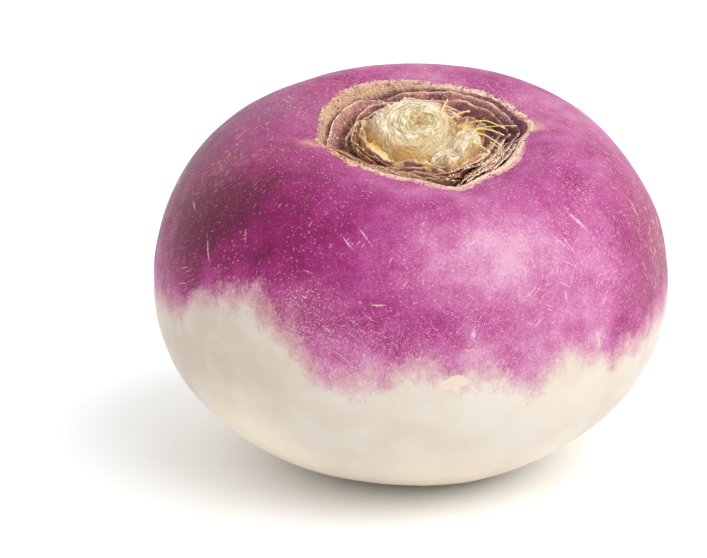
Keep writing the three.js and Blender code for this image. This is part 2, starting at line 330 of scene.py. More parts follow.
TAN_SCUFFS = [
    (282.3, 14.2, 285.4, 14.2, 0.6), (275.8, 7.7, 276, 4.7, 0.9), (258.2, 25.6, 258.9, 24.2, 0.7),
    (260.3, 24.2, 265.5, 24.4, 0.45), (345.5, 29.5, 344, 23.5, 0.8), (350.7, 23.9, 352.3, 21.6, 0.8),
    (146.5, 47.2, 151.3, 51.4, 0.4), (143.4, 46.9, 147.7, 51.5, 0.4), (232.3, 10.2, 234.6, 12.8, 0.45),
    (242.7, 16.7, 244.4, 17.9, 0.6), (213.9, -1.6, 216, -1.2, 0.5), (170, 20, 174, 24, 0.6),
]
BARE_CHIPS = [(276, 6, 284, 8.4, 4.4)]


def colour_line_height(azimuth):
    angles, heights = np.array(COLOUR_LINE).T
    return np.interp(azimuth % 360, angles, heights, period=360)


def collar_width(azimuth):
    """How far the corky band reaches out past the lip, in millimetres."""
    tip = 0.5 * near(azimuth, 189, 4)
    back = 0.3 * near(azimuth, 125, 42)
    front = 0.9 * ease(np.cos(np.radians(azimuth - 272)), 0.1, 0.5) + 0.6 * near(azimuth, 285, 45)
    return 0.25 + back + tip + front + 0.2 * ripple(azimuth, 11, 4)


def cork_depth(azimuth):
    """How far the corky band reaches in from the lip, in millimetres."""
    back = 1.5 * near(azimuth, 128, 42)
    return 0.5 + back + 0.3 * near(azimuth, 20, 20) + 0.4 * near(azimuth, 330, 25)


def make_root(material):
    outline = root_outline()
    around, azimuth, up = np.broadcast_arrays(outline[:, :1], turn_steps(ROOT_COLUMNS), outline[:, 1:])
    points = uneven_root(around, azimuth, up)

    # The collar is corky and ridged, the crater's wall is rough, and the skin waves a little.
    outward = unit(points)
    from_lip = np.where(up > 20, around - LIP[0], FAR)
    band, depth = collar_width(azimuth), cork_depth(azimuth)
    cork = ease(from_lip, -depth - 0.4, -depth + 0.1) * (1 - ease(from_lip, band - 0.8, band + 1.2))
    tall = rough(points, 0.7, 3) * 0.2 + rough(points, 2.4, 8) * 0.2
    ridges = np.sin(from_lip * 11 + 2.5 * rough(points, 5, 6)) * 0.09
    wall = rough(points * (1, 1, 0.3), 0.8, 5) * 0.25 * ease(-from_lip, 0.8, 1.6) * ease(-from_lip, 3.2, 2.4)
    floor = ease(-from_lip, 2.4, 3.2) * ease(around, 3, 6)
    wall = wall + floor * (0.5 * rough(points, 1.6, 21) + 0.3 * rough(points, 0.7, 22) + 0.3)
    wave = rough(points, 9, 1, 2) * 0.12 * (1 - bell(from_lip, 3))
    placed = to_row(points + outward * ((tall + ridges) * cork + wall + wave)[..., None])

    # Cut flat where it stands.
    placed[..., 2] = (placed[..., 2] + np.sqrt(placed[..., 2] ** 2 + (REST_EDGE * MM) ** 2)) / 2
    marks = {
        "purple_reach": up - colour_line_height(azimuth),
        **{mark: clouds(outward, places) for mark, places in CLOUDS.items()},
        "cork": cork,
        "crumbly": cork * (0.25 + 0.75 * near(azimuth, 128, 75)) * ease(from_lip, 2, 0.8),
        "inside": 1 - ease(from_lip, -depth - 0.1, -depth + 0.5),
        "from_lip": from_lip,
        "ringed": near(azimuth, 300, 48) + near(azimuth, 50, 42),
        # Painted shade: a dark hole in the crater at the right.
        "maroon": near(azimuth, 22, 14),
        "golden": near(azimuth, 205, 16),
        "tail": (near(azimuth, 190, 4) + near(azimuth, 8, 4)) * bell(np.maximum(from_lip, 0), 3),
        "cut": ease(-placed[..., 2] / MM, -0.1, 0.25),
    }
    smooth = turned_mesh("smooth root", placed, marks)
    root = run_tree(smooth, crumb_tree(material), {"Seed": 7}, "turnip_root")
    finish_piece(root, material, "root")


def skin_point(azimuth, latitude):
    """The skin's point, in millimetres, that lies in a direction from the widest ring's middle."""
    rows = root_outline()[: BOTTOM_ROWS + TOP_ROWS]
    tries = azimuth + np.arange(-8, 8, 0.25)
    points = uneven_root(rows[:, :1], tries[None], rows[:, 1:])
    aim = unit(points) @ direction(azimuth, latitude)
    return points[np.unravel_index(np.argmax(aim), aim.shape)]


# ---- The crown's stem and stubs ----

PITH = (0.4, 0.2)  # the pith's place on the cut top, from the crown's middle
CUT_SLOPE = 0.2  # how much the cut falls to the front, in millimetres a millimetre
STEM_ASIDE = 0.9  # how far the stem's top leans to the left
STEM_EDGE = (6.5, 30)  # radius and height where the stem's rim meets its cut top
STEM_COLUMNS, STUB_COLUMNS, STUB_TOP_ROWS = 288, 96, 11


def stem_share(azimuth):
    narrower = 0.1 * near(azimuth, 75, 50) + 0.17 * near(azimuth, 5, 45) + 0.13 * near(azimuth, 220, 32)
    return 1 - narrower + 0.04 * near(azimuth, 262, 50) + 0.015 * np.sin(np.radians(5 * azimuth))


def make_stem(material):
    wall = smooth_line([(9.3, FOOT), (9.2, 24.6), (8.9, 26), (8.3, 27.4), (7.6, 28.7)], 9)
    rim = smooth_line([(7.6, 28.7), (7.4, 29.4), (7, 29.85), STEM_EDGE], 7)
    inward = np.linspace(STEM_EDGE[0], 0, 60)
    top = np.stack([inward, STEM_EDGE[1] + 0.15 * (1 - inward / STEM_EDGE[0])], -1)
    outline = np.concatenate([[(0, FOOT), (4, FOOT)], wall, rim[1:], top[1:]])
    outer, azimuth, height = np.broadcast_arrays(outline[:, :1], turn_steps(STEM_COLUMNS), outline[:, 1:])
    upper = ease(height, FOOT, 26.7)
    ring = polar(8, azimuth[0], 0)
    lumpy = (rough(ring, 4, 10) * 0.05 + rough(ring, 1.3, 9) * 0.03) * upper
    radius = outer * (1 + (stem_share(azimuth) - 1) * upper + lumpy)

    # Ragged fibrous rings on the cut top, a sunken pith, two lower ledges towards the front.
    flat = polar(radius, azimuth, 0)
    x, y = flat[..., 0], flat[..., 1]
    on_top = ease(height, 29, 29.9)
    apart = np.hypot(x - PITH[0], y - PITH[1]) + rough(flat, 3.2, 11) * 0.9 + rough(flat, 1.1, 18) * 0.2
    disc = np.hypot(x + 1.2, y - 0.8) + rough(flat, 2, 19) * 0.7
    to_front = ease(np.cos(np.radians(azimuth - 304)), -0.35, 0.4)
    ledge = ease(disc, 4.8, 5.2) * to_front
    lower_ledge = ease(disc, 6.2, 6.7) * to_front
    strong = 0.35 + 0.65 * ease(rough(flat, 2.2, 16), -0.3, 0.5)
    rings = 0.11 * strong * np.sin(apart * 9 + rough(flat, 1.2, 12) * 2.4)
    pits = -0.3 * ease(rough(flat, 0.7, 17), 0.38, 0.62)
    sunk = -0.35 * bell(apart, 1.4) + 0.22 * bell(apart - 3, 0.9)
    fray = rough(polar(radius * 1.6, azimuth, 0), 0.8, 13)
    frayed = fray * bell(radius - 7.3, 0.8) * on_top * (0.5 + 0.5 * near(azimuth, 165, 55))
    relief = rings + sunk + pits - 0.6 * ledge - 0.7 * lower_ledge
    height = height + on_top * (relief + 0.08 * rough(flat, 0.5, 14) + 0.5 * frayed)
    ribs = rough(np.stack([x, y, height * 0.3], -1), 0.9, 15) * 0.35 * (1 - on_top)
    points = polar(radius + np.where(outer > 5, ribs + 0.8 * frayed, 0), azimuth, height)
    points[..., 2] += CUT_SLOPE * points[..., 1] * upper
    points[..., 0] -= STEM_ASIDE * upper
    marks = {
        "on_top": ease(height + 0.6 * ledge + 0.7 * lower_ledge + 0.3 * fray, 28.3, 29.3),
        "from_pith": apart,
        "ledge": ledge,
        "low": 1 - ease(height, 26.2, 28.9),
        "foot": lower_ledge * near(azimuth, 250, 36),
        "golden": near(azimuth, 225, 55) + ledge * near(azimuth, 12, 38),
        "flush": near(azimuth, 278, 9) * bell(height - 27.4, 0.9),
        "withered": near(azimuth, 138, 24) * ease(radius, 6.3, 7.4),
        "around": np.radians(azimuth) * 8.2,
        "up": height,
    }
    stem = turned_mesh("cut_crown_stem", crown_to_row(points), marks)
    finish_piece(stem, material, "crown_stem")


# Each stub of a cut leaf stalk: azimuth, distance out, sizes across and deep, height, slope and
# how deeply its sides are lobed.
STUBS = [
    ("leaf_stalk_stub_1", -22, 7.8, 6.6, 5, 28.8, 0.06, 0.1),
    ("leaf_stalk_stub_2", -60, 8.2, 6.2, 4.4, 27.9, -0.05, 0.14),
]


def make_stub(name, azimuth, distance, across, deep, top, slope, lobes, material, seed):
    side = smooth_line([(1.1, 0), (1.12, 0.3), (1.06, 0.6), (0.94, 0.82), (0.74, 0.96), (0.5, 1)], 8)
    inward = np.linspace(0.5, 0, STUB_TOP_ROWS + 1)[1:]
    outline = np.concatenate([[(0, 0)], side, np.stack([inward, np.ones(STUB_TOP_ROWS)], -1)])
    outer, around, up = np.broadcast_arrays(outline[:, :1], turn_steps(STUB_COLUMNS), outline[:, 1:])
    turn = np.radians(around)
    wide = outer * (1 + lobes * np.cos(turn * 5 + seed) + 0.08 * ripple(around, 4, seed))
    y = wide * np.sin(turn) * across / 2
    height = FOOT + up * (top - FOOT) + up * slope * y
    local = np.stack([distance + wide * np.cos(turn) * deep / 2, y, height], -1)
    on_top = ease(up, 0.62, 0.9)
    lumps = rough(local * (1, 1, 0.3), 0.8, seed) * 0.16 + rough(local * (1, 1, 0.4), 2.4, seed + 1) * 0.7
    grain = np.sin(y * 6 + rough(local, 1.2, seed + 3) * 3) * 0.08
    local[..., 0] += np.where(outer > 0.4, lumps, 0)
    local[..., 2] += on_top * (lumps + grain) + 0.25 * on_top * rough(local, 1.8, seed + 5)
    x, y, z = np.moveaxis(local, -1, 0)
    c, s = math.cos(math.radians(azimuth)), math.sin(math.radians(azimuth))
    placed = crown_to_row(np.stack([x * c - y * s, x * s + y * c, z], -1))
    marks = {
        "on_top": on_top,
        "from_pith": 5 + 0.9 * x + 0.5 * rough(local, 1.5, seed + 7),
        "low": 1 - ease(z, 24, 26.2),
        "golden": 0.15,
        "around": y * 1.4,
        "up": z,
    }
    finish_piece(turned_mesh("cut_" + name, placed, marks), material, name)


# ---- The dry leaf-base scales ----

STATION = 0.75  # the angle between a sheet's sections, in degrees
SIDE_POINTS, LIP_POINTS = 10, 7  # points up each side of a section, and over its lip

# How closely each ring of scales follows the collar's shape.
FOLLOW = {"outer": 1, "middle": 0.88, "inner": 0.3}

# Each scale: its CAD node, ring, first and last azimuth, and the sheets it is made of.
# Each sheet: radius at the foot, lean outward up to its lip, lip height, thickness, and how much
# later it starts and earlier it ends, in degrees.
SCALES = [
    ("outer_scale_1", "outer", 14, 110, [(15.5, 1.6, 27.15, 0.26, 0, 0), (13.8, 1.2, 26.9, 0.22, 0, 16)]),
    ("outer_scale_2", "outer", 112, 204, [(14.4, 2.7, 27, 0.26, 0, 0), (12.8, 1.4, 25.7, 0.24, 30, 24)]),
    ("outer_scale_3", "outer", 176, 292, [
        (16.7, 1.1, 27.45, 0.5, 0, 0), (16.1, 1.1, 27.5, 0.4, 3, 2), (15.5, 1, 27.45, 0.36, 8, 0),
        (14.9, 1, 27.3, 0.3, 20, 8), (14.3, 1, 27.3, 0.3, 88, -6), (13.5, 1, 27.2, 0.3, 92, -8),
    ]),
    ("outer_scale_4", "outer", 290, 380, [
        (16.4, 1.1, 27.35, 0.32, 0, 0), (15.8, 1, 27.3, 0.26, 2, 6), (14.4, 0.9, 26.9, 0.26, 0, 12),
    ]),
    ("middle_scale_1", "middle", 146, 258, [
        (11.6, 1.2, 27.5, 0.3, 6, 0), (11.4, 0.9, 26.9, 0.36, 24, 0), (11.8, 0.6, 28.1, 0.3, 9, 97),
        (11.1, 0.6, 28.2, 0.28, 4.5, 103),
    ]),
    ("middle_scale_2", "middle", 246, 328, [
        (13.6, 1, 27.5, 0.32, 0, 0), (12.9, 0.8, 27.35, 0.28, 4, 0), (10.6, 2.7, 27.2, 0.4, 34, -12),
    ]),
    ("middle_scale_3", "middle", 318, 416, [
        (11.9, 1.4, 25.8, 0.28, 0, 0), (11.4, 2.2, 27.1, 0.26, 0, 44), (13.2, 1.8, 27.1, 0.3, -4, 42),
    ]),
    ("middle_scale_4", "middle", 60, 160, [(12, 1.8, 26.6, 0.28, 0, 0), (13.6, 1.6, 26.5, 0.26, 34, 18)]),
    ("leaf_base_1", "inner", 128, 246, [(9.1, 0.8, 28.1, 2.7, 0, 0), (11, 1.2, 27.6, 0.6, 10, 14)]),
    ("leaf_base_2", "inner", 238, 290, [(9.5, 0.5, 27.9, 2.1, -6, -6), (11.1, 0.7, 27.4, 0.5, -4, -4)]),
    ("leaf_base_3", "inner", 344, 416, [(7.6, 0.8, 29, 2.8, 0, 8), (9.4, 1.2, 28, 0.9, 8, 26)]),
    ("leaf_base_4", "inner", 48, 134, [(9.2, 0.7, 27.5, 2.2, 0, 0), (11, 0.8, 26.9, 0.6, 4, 8)]),
]


def scale_sheet(start, stop, follow, radius, lean, lip, thick, seed):
    """One frayed sheet: its sections as [station, point round the section], and its marks."""
    papery = thick < 1
    along = np.linspace(0, 1, int((stop - start) / STATION))[:, None]
    side = np.linspace(0, 1, SIDE_POINTS)
    over = np.linspace(0.5, -0.5, LIP_POINTS + 2)[1:-1]
    inner_edge = 1 - 0.075 * thick
    hollow = 0.22 * min(1, thick) * np.sin(math.pi * (0.5 - over)) ** 0.7
    over_up = 1 + (inner_edge - 1) * (0.5 - over) - hollow
    loop_up = np.concatenate([side, over_up, side[::-1] * inner_edge])[None]
    across = np.concatenate([np.full(SIDE_POINTS, 0.5), over, np.full(SIDE_POINTS, -0.5)])[None]
    azimuth = start + along * (stop - start)
    reach = 0.45 + 0.55 * np.sin(math.pi * np.clip(along, 0.001, 0.999)) ** 0.4
    middle = polar(radius, azimuth, 0)
    ragged = rough(middle, 4, seed) * 0.45 + rough(middle, 0.9, seed + 1) * 0.1
    tall = (lip - FOOT) * reach + ragged * (1 if papery else 1.5)
    taper = np.minimum(1, np.sin(math.pi * np.clip(along, 0.004, 0.996)) * (5 if papery else 2.4))
    thickness = thick * (1 - 0.35 * loop_up**2) * taper
    share = 1 + (collar_share(azimuth) - 1) * follow
    curl = (rough(middle, 6, seed + 3) * 0.5 + rough(middle, 1.3, seed + 4) * 0.1) * loop_up**2
    out = radius * share + lean * loop_up**1.5 + curl + across * thickness
    if follow > 0.5:
        # Tucked in behind the corky band, and flared like a dish at the front right.
        out = out - (cork_depth(azimuth) - 0.5) * share * loop_up
        out = out + 2.2 * near(azimuth, 325, 32) * (loop_up**4 - 1)
    up = loop_up * tall
    points = polar(out, azimuth, FOOT + up)
    points = points + polar(rough(points, 0.5, seed + 2) * 0.05, azimuth, 0)
    inside = lambda low, high: 1 - ease(radius, low, high)
    crumbs = 0.1 + 0.3 * near(azimuth, 176, 22) + 0.5 * near(azimuth, 322, 24)
    marks = {
        "around": np.radians(azimuth) * radius,
        "up": up,
        "through": across * thickness,
        # Painted shade: darker low down between the sheets.
        "deep": (1 - ease(up, 0.8, 2.7))
        * (1 - 0.3 * near(azimuth, 170, 40) * ease(radius, 13.8, 14.4))
        * (1 - 0.5 * near(azimuth, 316, 22)),
        "to_lip": tall - up + 0.5 * (0.5 - across) * thick,
        "tanned": near(azimuth, 242, 60) * ease(radius, 11.5, 14),
        "golden": near(azimuth, 318, 22) * inside(13, 15.5)
        + near(azimuth, 196, 18) * inside(12.5, 13)
        + 0.8 * near(azimuth, 202, 12) * ease(radius, 13.8, 14.6),
        "flushed": 1 if papery else 0.25 + 0.75 * ease(across, -0.1, 0.3),
        # Painted shade: the dark hole in the crater at the right, behind the fibres.
        "maroon": near(azimuth, 26, 16) * inside(14, 15.2) + near(azimuth, 20, 8),
        "rosy": 0.95 * near(azimuth, 16, 36) + 0.9 * near(azimuth, 172, 24)
        + 0.5 * near(azimuth, 345, 18) + 0.6 * near(azimuth, 252, 40) * inside(13.8, 15),
        "crumbly": crumbs * ease(rough(points, 2, seed + 5), -0.2, 0.5) * ease(loop_up, 0.3, 0.5),
    }
    return points, {mark: np.broadcast_to(values, out.shape).ravel() for mark, values in marks.items()}


def make_scale(node, ring, start, stop, sheets, finishes, seed):
    slot = "leaf_base" if ring == "inner" else "dry_scale"
    material, crumbs = finishes[slot]
    points, faces, marks = [], [], []
    for i, (radius, lean, lip, thick, later, earlier) in enumerate(sheets):
        place = start + later, stop - earlier, FOLLOW[ring], radius, lean, lip, thick
        grid, sheet_marks = scale_sheet(*place, seed + 10 * i)
        faces += strip_faces(*grid.shape[:2], first=sum(len(p) for p in points))
        points.append(crown_to_row(grid).reshape(-1, 3))
        marks.append(sheet_marks)
    marks = {mark: np.concatenate([sheet[mark] for sheet in marks]) for mark in marks[0]}
    smooth = build_mesh("smooth " + node, np.concatenate(points), faces, marks)
    settings = {"Seed": seed, "Smallest": 0.00008, "Largest": 0.00028}
    finish_piece(run_tree(smooth, crumbs, settings, "dry_" + node), material, node)


# ---- Node trees ----


def feed(tree, socket, value):
    """Gives an input a value, or a link when the value is another node's output."""
    if isinstance(value, bpy.types.NodeSocket):
        tree.links.new(value, socket)
    else:
        socket.default_value = value


def add_node(tree, kind, inputs=None, **settings):
    """Adds a node, with inputs given by name or by number, and returns its outputs."""
    added = tree.nodes.new(kind)
    for name, value in settings.items():
        setattr(added, name, value)
    for name, value in (inputs or {}).items():
        feed(tree, added.inputs[name], value)
    return added.outputs


# ---- Geometry Nodes: fibres along paths, crumbs over a surface ----

FIBRE_STEPS = 40
TIP_SHARE = 0.6  # a fibre's thickness at its tip, as a share of that at its root
CRUMB_DENSITY = 8.0e6  # crumbs a square metre


def start_tree(name, inputs):
    """A geometry node tree with number inputs, a way to add to it, and its inputs' sockets."""
    tree = bpy.data.node_groups.new(name, "GeometryNodeTree")
    for way in ("INPUT", "OUTPUT"):
        tree.interface.new_socket("Geometry", in_out=way, socket_type="NodeSocketGeometry")
    for label, value in inputs.items():
        kind = "NodeSocketInt" if isinstance(value, int) else "NodeSocketFloat"
        tree.interface.new_socket(label, in_out="INPUT", socket_type=kind).default_value = value
    add = lambda kind, inputs=None: add_node(tree, "GeometryNode" + kind, inputs)[0]
    return tree, add, tree.nodes.new("NodeGroupInput").outputs


def end_tree(tree, add, geometry, material):
    """Makes the tree's geometry real, with a material, and gives it out."""
    real = add("RealizeInstances", {"Geometry": geometry})
    done = add("SetMaterial", {"Geometry": real, "Material": material})
    tree.links.new(done, tree.nodes.new("NodeGroupOutput").inputs["Geometry"])
    return tree


def maths(tree, operation, *values):
    return add_node(tree, "ShaderNodeMath", dict(enumerate(values)), operation=operation)[0]


def fibre_tree(material):
    """Turns a path into a thin tapering fibre with a rounded section."""
    tree, add, given = start_tree("vein fibre", {"Thickness": 0.0005})
    path = add("MeshToCurve", {"Mesh": given["Geometry"]})
    even = add("ResampleCurve", {"Curve": path, "Count": FIBRE_STEPS})
    along = add("SplineParameter")
    width = add_node(tree, "ShaderNodeMapRange", {"Value": along, "To Min": 1, "To Max": TIP_SHARE})[0]
    knots = add_node(tree, "ShaderNodeTexNoise", {"Scale": 900, "Detail": 2})[0]
    lumpy = maths(tree, "MULTIPLY_ADD", maths(tree, "SUBTRACT", knots, 0.5), 0.7, width)
    kept = add("StoreNamedAttribute", {"Geometry": even, "Name": "along", "Value": along})
    half = maths(tree, "MULTIPLY", given["Thickness"], 0.5)
    section = add("CurvePrimitiveCircle", {"Resolution": 10, "Radius": half})
    shape = {"Curve": kept, "Profile Curve": section, "Scale": lumpy, "Fill Caps": True}
    return end_tree(tree, add, add("CurveToMesh", shape), material)


def crumb_tree(material):
    """Adds small crumbs to a surface, thickest where its mark "crumbly" is strongest."""
    tree, add, given = start_tree("cork crumbs", {"Smallest": 0.00005, "Largest": 0.0002, "Seed": 7})
    seed, surface = given["Seed"], given["Geometry"]
    density = maths(tree, "MULTIPLY", add("InputNamedAttribute", {"Name": "crumbly"}), CRUMB_DENSITY)
    scatter = add("DistributePointsOnFaces", {"Mesh": surface, "Density": density, "Seed": seed})
    ball = add("MeshIcoSphere", {"Radius": 1, "Subdivisions": 1})
    flat = add("Transform", {"Geometry": ball, "Scale": (1, 0.6, 0.8)})
    crumb = add("StoreNamedAttribute", {"Geometry": flat, "Name": "crumb", "Value": 1})
    sizes = {2: given["Smallest"], 3: given["Largest"], "Seed": seed}
    size = add_node(tree, "FunctionNodeRandomValue", sizes)[1]
    turns = {0: (0, 0, 0), 1: (math.tau,) * 3, "Seed": seed}
    turn = add_node(tree, "FunctionNodeRandomValue", turns, data_type="FLOAT_VECTOR")[0]
    placing = {"Points": scatter, "Instance": crumb, "Rotation": turn, "Scale": size}
    both = add("JoinGeometry", {0: surface})
    tree.links.new(add("InstanceOnPoints", placing), both.node.inputs[0])
    return end_tree(tree, add, both, material)


def run_tree(source, tree, settings, name):
    """Runs a node tree on an object and keeps only the plain mesh it makes."""
    modifier = source.modifiers.new(tree.name, "NODES")
    modifier.node_group = tree
    sockets = {i.name: i.identifier for i in tree.interface.items_tree if i.in_out == "INPUT"}
    for label, value in settings.items():
        modifier[sockets[label]] = value
    bpy.context.view_layer.update()
    evaluated = source.evaluated_get(bpy.context.evaluated_depsgraph_get())
    mesh = bpy.data.meshes.new_from_object(evaluated)
    mesh.name = name
    mesh.shade_smooth()
    bpy.data.objects.remove(source)
    return add_object(name, mesh)


# Each vein fibre: the points it passes through about the crown's middle, as radius, azimuth and
# height, and how thick it is.
FIBRES = [
    ("fibre_1", 0.45, [(4.6, 45, 30.2), (5.2, 47, 30.7), (6, 49, 31.2), (6.9, 51, 31.5)]),
    ("fibre_2", 0.4, [(5, 12, 30.1), (5.9, 14, 30.6), (7.1, 15, 30.9), (8.4, 15, 31)]),
    ("fibre_3", 0.3, [(8.3, 14, 28.8), (10.7, 10, 29.3), (12.4, 7, 28.9), (14.2, 4.5, 28.2)]),
    ("fibre_4", 0.26, [(8.2, 7, 28), (11, 7.5, 28.3), (13.7, 7.5, 28.3), (16.4, 8, 28.1)]),
    ("fibre_5", 0.36, [(8.2, 1, 28.4), (10.5, 0.5, 28.6), (12.3, -1.5, 28.4), (14, -3.5, 27.9)]),
    ("fibre_6", 0.36, [(8.3, -8, 28.5), (10.6, -11.5, 28.7), (12.6, -16.5, 28.4), (14.2, -19, 27.9)]),
    ("fibre_7", 0.24, [(12.2, -18.6, 28.2), (12.8, -20.2, 28.1), (13.8, -22.2, 28), (14.6, -23.6, 27.8)]),
    ("fibre_8", 0.36, [(9.1, -32, 28.9), (11, -33.5, 29), (12.4, -32.5, 28.5), (13.5, -31.6, 27.9)]),
]


def make_fibres(material):
    tree = fibre_tree(material)
    for node, thick, corners in FIBRES:
        path = crown_to_row(smooth_line(polar(*np.array(corners, float).T), 8))
        edges = [(i, i + 1) for i in range(len(path) - 1)]
        source = build_mesh(node + " path", path, [], edges=edges, closed=False)
        fibre = run_tree(source, tree, {"Thickness": thick * MM}, "vein_" + node)
        finish_piece(fibre, material, node)


# ---- Finishes ----


def ink(colour):
    """Display values from 0 to 255 as a linear colour; anything else stays as it is."""
    if not isinstance(colour, tuple) or len(colour) != 3:
        return colour
    linear = lambda v: v / 12.92 if v <= 0.04045 else ((v + 0.055) / 1.055) ** 2.4
    return (*(linear(v / 255) for v in colour), 1)


class Finish:
    """A material being made, and short ways to add to it."""

    def __init__(self, name):
        self.material = bpy.data.materials.new(name)
        self.material.use_nodes = True
        self.tree = self.material.node_tree
        self.place = self.node("TexCoord")["Object"]

    def node(self, kind, inputs=None, **settings):
        """Adds a shader node. An input given as text is the mark of that name."""
        given = {n: self.mark(v) if isinstance(v, str) else v for n, v in (inputs or {}).items()}
        return add_node(self.tree, "ShaderNode" + kind, given, **settings)

    def maths(self, operation, *values):
        """One number from all the values, taken two at a time."""
        result = values[0]
        for value in values[1:]:
            result = self.node("Math", {0: result, 1: value}, operation=operation)[0]
        return result

    def total(self, *values):
        return self.maths("ADD", *values)

    def times(self, *values):
        return self.maths("MULTIPLY", *values)

    def most(self, *values):
        return self.maths("MAXIMUM", *values)

    def span(self, value, low, high, to_low=0, to_high=1):
        """Eases from to_low to to_high while value goes from low to high."""
        inputs = {"Value": value, "From Min": low, "From Max": high, "To Min": to_low, "To Max": to_high}
        return self.node("MapRange", inputs, interpolation_type="SMOOTHSTEP")[0]

    def mark(self, name):
        return self.node("Attribute", attribute_name=name)["Fac"]

    def turned(self, degrees, stretch=(1, 1, 1), place=None):
        """A place, turned and then stretched: a larger number is a finer pattern."""
        inputs = {"Vector": place or self.place, "Rotation": [math.radians(d) for d in degrees]}
        return self.node("Mapping", {"Vector": self.node("Mapping", inputs)[0], "Scale": stretch})[0]

    def noise(self, size, detail=2, roughness=0.5, distortion=0, place=None):
        """Noise from 0 to 1 whose lumps are about size millimetres across."""
        inputs = {"Vector": place or self.place, "Scale": 1 / (size * MM), "Detail": detail}
        return self.node("TexNoise", {**inputs, "Roughness": roughness, "Distortion": distortion})[0]

    def streaks(self, scale, detail, roughness, **place):
        """Noise from 0 to 1 over a place made up from marks, given as its X, Y and Z."""
        inputs = {"Vector": self.node("CombineXYZ", place)[0], "Scale": scale}
        return self.node("TexNoise", {**inputs, "Detail": detail, "Roughness": roughness})[0]

    def cells(self, size, place=None):
        return self.node("TexVoronoi", {"Vector": place or self.place, "Scale": 1 / (size * MM)})

    def luck(self, cells):
        """A number from 0 to 1 of each cell's own."""
        return self.node("SeparateColor", {"Color": cells["Color"]})[0]

    def blend(self, mask, first, second):
        return self.node("Mix", {0: mask, 6: ink(first), 7: ink(second)}, data_type="RGBA")[2]

    def layers(self, colour, *coats):
        """A colour under coats of others, each given by its masks, multiplied, and its colour."""
        for *masks, coat in coats:
            colour = self.blend(self.times(*masks), colour, coat)
        return colour

    def ramp(self, factor, *stops):
        """A colour that runs through stops, each a place from 0 to 1 and a colour."""
        colour = self.node("ValToRGB", {"Fac": factor})[0]
        elements = colour.node.color_ramp.elements
        while len(elements) < len(stops):
            elements.new(0.5)
        for element, (place, stop) in zip(elements, stops):
            element.position = place
            element.color = ink(stop)
        return colour

    def bumps(self, *heights):
        """Bumps over one another, each a height from 0 to 1 and a depth in millimetres."""
        below = {}
        for height, depth in heights:
            inputs = {"Height": height, "Distance": depth * MM, "Strength": 1, **below}
            below = {"Normal": self.node("Bump", inputs)[0]}
        return below["Normal"]

    def surface(self, colour, roughness, normal=None, **others):
        """Feeds the shader and returns the material."""
        shader = self.tree.nodes["Principled BSDF"].inputs
        inputs = {"Base Color": colour, "Roughness": roughness, **others}
        for name, value in inputs.items():
            feed(self.tree, shader[name.replace("_", " ")], value)
        if normal:
            feed(self.tree, shader["Normal"], normal)
        return self.material


# Long thin strokes on the skin. Each kind: direction in degrees, spacing along and across in
# millimetres, and how far each stroke reaches into that spacing.
LONG_STROKES = [
    ((10, 25, 55), 13, 0.66, 0.17),
    ((70, 10, -35), 11, 0.58, 0.17),
    ((-30, 60, 10), 15, 0.7, 0.16),
    ((-60, -20, 130), 12, 0.62, 0.17),
]
# Direction in degrees of each layer of short strokes.
SHORT_STROKES = [(20, 10, 50), (75, -30, -20), (-40, 35, 110), (50, 65, 5)]


def wandering(f):
    """The surface's place, shifted a little to and fro, so that strokes aren't quite straight."""
    wobble = f.node("TexNoise", {"Vector": f.place, "Scale": 130, "Detail": 2})["Color"]
    shifted = {0: wobble, 1: (1.4 * MM,) * 3, 2: f.place}
    return f.node("VectorMath", shifted, operation="MULTIPLY_ADD")[0]


def stroke_mask(f, place):
    """Fine strokes in several directions, from 0 to 1."""
    lines = []
    for degrees, length, width, reach in LONG_STROKES:
        cells = f.cells(1, f.turned(degrees, (1 / length, 1 / width, 1 / width), place))
        faint = f.span(f.luck(cells), 0.05, 0.9)
        lines.append(f.times(f.span(cells["Distance"], reach, reach * 0.5), faint))
    return f.most(*lines)


def short_stroke_mask(f, place):
    """A felt of short strokes in several directions, from 0 to 1."""
    felt = [f.noise(0.22, 1, place=f.turned(degrees, (0.065, 1, 1), place)) for degrees in SHORT_STROKES]
    return f.most(*(f.span(layer, 0.64, 0.75) for layer in felt))


def scuff_mask(f, place, scuffs):
    """Single scuffs, each a long thin oval between two places on the skin."""
    ovals = []
    for *ends, width in scuffs:
        start, stop = (Vector(to_row(skin_point(*end))) for end in (ends[:2], ends[2:]))
        middle = (start + stop) / 2
        along = (stop - start).normalized()
        across = (middle - MIDDLE).cross(along).normalized()
        inputs = {
            "Vector": place,
            "Location": middle,
            "Rotation": Matrix((along, across, along.cross(across))).transposed().to_euler(),
            "Scale": ((stop - start).length * 0.55, width * MM / 2, 2 * MM),
        }
        local = f.node("Mapping", inputs, vector_type="TEXTURE")[0]
        apart = f.node("VectorMath", {0: local}, operation="LENGTH")["Value"]
        ovals.append(f.span(apart, 1, 0.1))
    return f.most(*ovals)


